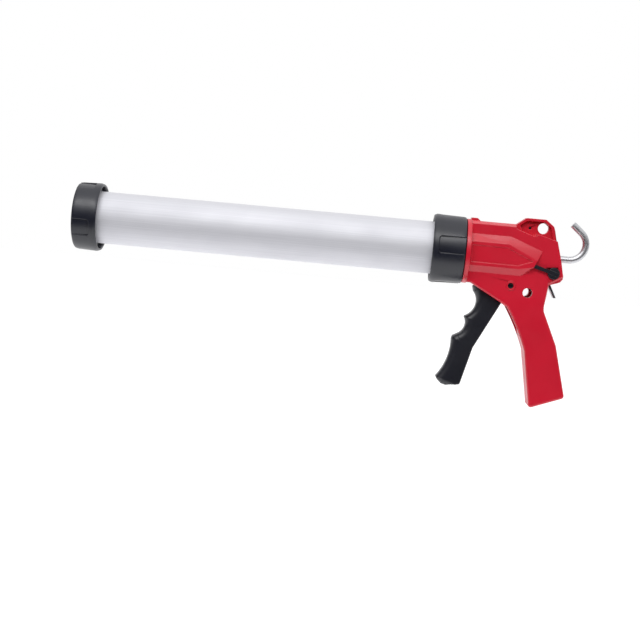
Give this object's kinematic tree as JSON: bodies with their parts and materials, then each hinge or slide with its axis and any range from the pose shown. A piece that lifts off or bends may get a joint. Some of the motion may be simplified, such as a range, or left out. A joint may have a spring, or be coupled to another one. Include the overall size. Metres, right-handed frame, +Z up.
{
  "type": "caulking gun",
  "caption": "Manual sachet caulking gun with a metal barrel, screw caps, a moulded pistol housing, a ribbed trigger and a hooked push rod.",
  "frame": {"origin": "centre of the nozzle opening in the front cap's front face, on the barrel's axis", "axes": "+X along the barrel from the front cap to the handle, +Z up through the hanging lug, +Y to the gun's right-hand side"},
  "size_m": [0.521, 0.0696, 0.1902],
  "materials": {
    "barrel_aluminium": "satin anodised, drawn tube",
    "turned_aluminium": "turned",
    "black_nylon": "moulded, fine spark texture",
    "black_trigger_nylon": "moulded, satin",
    "red_nylon": "moulded, satin gloss",
    "natural_acetal": "moulded",
    "zinc_steel": "bright zinc plated",
    "rod_steel": "drawn bar, zinc plated",
    "spring_steel": "drawn wire",
    "black_oxide_steel": "black oxide",
    "seal_rubber": "moulded rubber"
  },
  "bodies": {
    "housing": {"left_housing": "red_nylon", "right_housing": "red_nylon", "housing_screws": "zinc_steel", "locating_pin": "black_oxide_steel", "pivot_pin": "black_oxide_steel", "pivot_clip": "spring_steel", "barrel_spigot": "black_nylon", "front_bush": "natural_acetal", "rear_bush": "natural_acetal", "spring_washer": "zinc_steel", "release_pin": "zinc_steel", "return_spring": "spring_steel", "release_spring": "spring_steel"},
    "trigger": {"trigger": "black_trigger_nylon", "trigger_bush": "natural_acetal", "nose_pin": "zinc_steel"},
    "drive": {"drive_plate": "zinc_steel"},
    "rod": {"push_rod": "rod_steel", "piston_disc": "natural_acetal", "piston_seal": "seal_rubber", "piston_washers": "zinc_steel", "piston_nut": "zinc_steel", "rod_clip": "spring_steel"},
    "release": {"release_plate": "zinc_steel"},
    "selector": {"selector_lever": "black_nylon"},
    "barrel": {"barrel_tube": "barrel_aluminium", "front_thread_sleeve": "black_nylon", "barrel_stop_ring": "turned_aluminium", "slip_washer": "natural_acetal"},
    "collar": {"rear_collar": "black_nylon"},
    "cap_seat": {"nozzle_washer": "turned_aluminium"},
    "cap": {"front_cap": "black_nylon"}
  },
  "joints": [
    {"name": "trigger_pull", "type": "hinge", "parent": "housing", "child": "trigger", "pos_m": [0.4445, 0, -0.0306], "axis": [0, -1, 0], "range_deg": [0, 34], "stiffness_Nm_per_rad": 0.8, "springref_deg": -20.05, "deforming": ["return_spring"]},
    {"name": "drive_slide", "type": "slide", "parent": "housing", "child": "drive", "axis": [-1, 0, 0], "range_m": [0, 0.0125]},
    {"name": "rod_slide", "type": "slide", "parent": "housing", "child": "rod", "axis": [1, 0, 0], "range_m": [0, 0.335]},
    {"name": "release_press", "type": "hinge", "parent": "housing", "child": "release", "pos_m": [0.4712, 0, 0.015], "axis": [0, 1, 0], "range_deg": [0, 6], "stiffness_Nm_per_rad": 2, "springref_deg": -5.73, "deforming": ["release_spring"]},
    {"name": "selector_turn", "type": "hinge", "parent": "housing", "child": "selector", "pos_m": [0.4855, 0, -0.0145], "axis": [0, -1, 0], "range_deg": [0, 28]},
    {"name": "barrel_draw", "type": "slide", "parent": "housing", "child": "barrel", "axis": [-1, 0, 0], "range_m": [0, 0.012]},
    {"name": "collar_turn", "type": "hinge", "parent": "barrel", "child": "collar", "pos_m": [0.38, 0, 0], "axis": [1, 0, 0], "range_deg": [0, 1440]},
    {"name": "cap_travel", "type": "slide", "parent": "barrel", "child": "cap_seat", "axis": [-1, 0, 0], "range_m": [0, 0.012]},
    {"name": "cap_turn", "type": "hinge", "parent": "cap_seat", "child": "cap", "pos_m": [0.01, 0, 0], "axis": [-1, 0, 0], "range_deg": [0, 1440]}
  ],
  "couplings": [
    {"joint": "drive_slide", "follows": "trigger_pull", "m_per_rad": 0.01971},
    {"joint": "collar_turn", "follows": "barrel_draw", "rad_per_m": 2094.4},
    {"joint": "cap_turn", "follows": "cap_travel", "rad_per_m": 2094.4}
  ]
}
